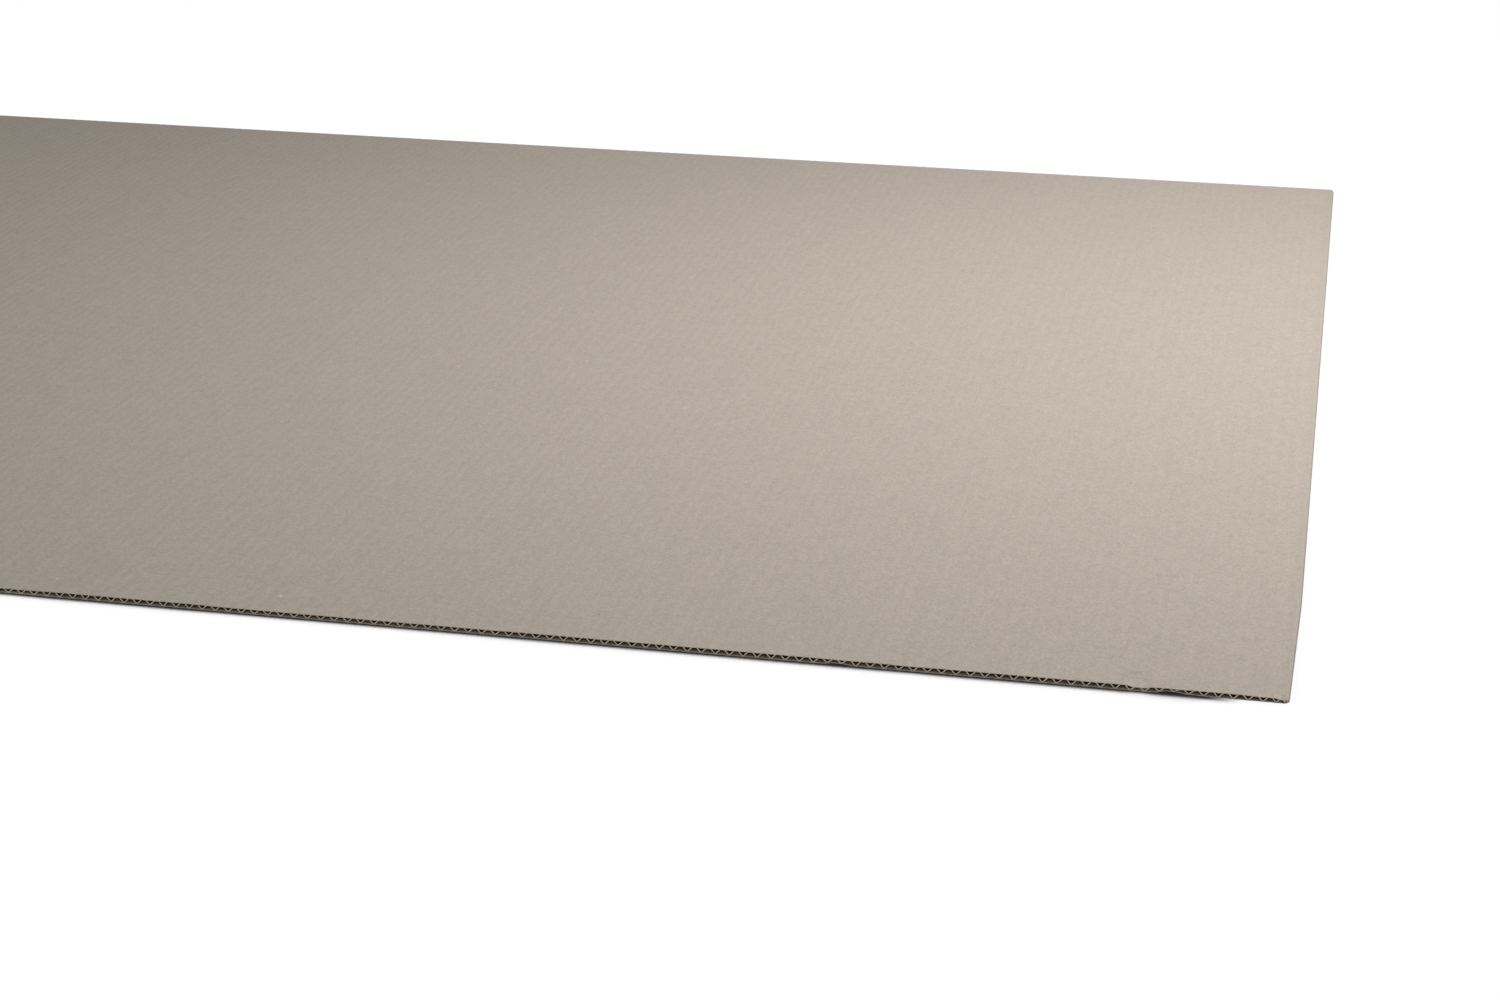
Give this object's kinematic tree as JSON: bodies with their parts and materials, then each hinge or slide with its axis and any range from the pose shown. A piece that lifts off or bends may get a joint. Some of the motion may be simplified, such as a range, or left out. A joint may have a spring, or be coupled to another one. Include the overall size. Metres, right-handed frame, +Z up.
{
  "type": "corrugated cardboard sheet",
  "caption": "Flat single-wall corrugated cardboard sheet of a wavy fluting paper glued between two liners, with open cut edges front and back and pinched slit sides.",
  "frame": {"origin": "middle of the sheet's underside, on the surface that it lies on", "axes": "+X along the long side, across the flutes; +Y along the flutes, from the front cut edge to the back one; +Z up through the thickness"},
  "size_m": [1.2, 1, 0.0026],
  "materials": {
    "top_liner": "matt uncoated grey-brown recycled liner with a fine fibre grain",
    "fluted_medium": "matt rough brown fluting paper",
    "bottom_liner": "matt uncoated grey-brown recycled liner"
  },
  "bodies": {
    "root": {"top_liner": "top_liner", "fluted_medium": "fluted_medium", "bottom_liner": "bottom_liner"}
  },
  "joints": []
}
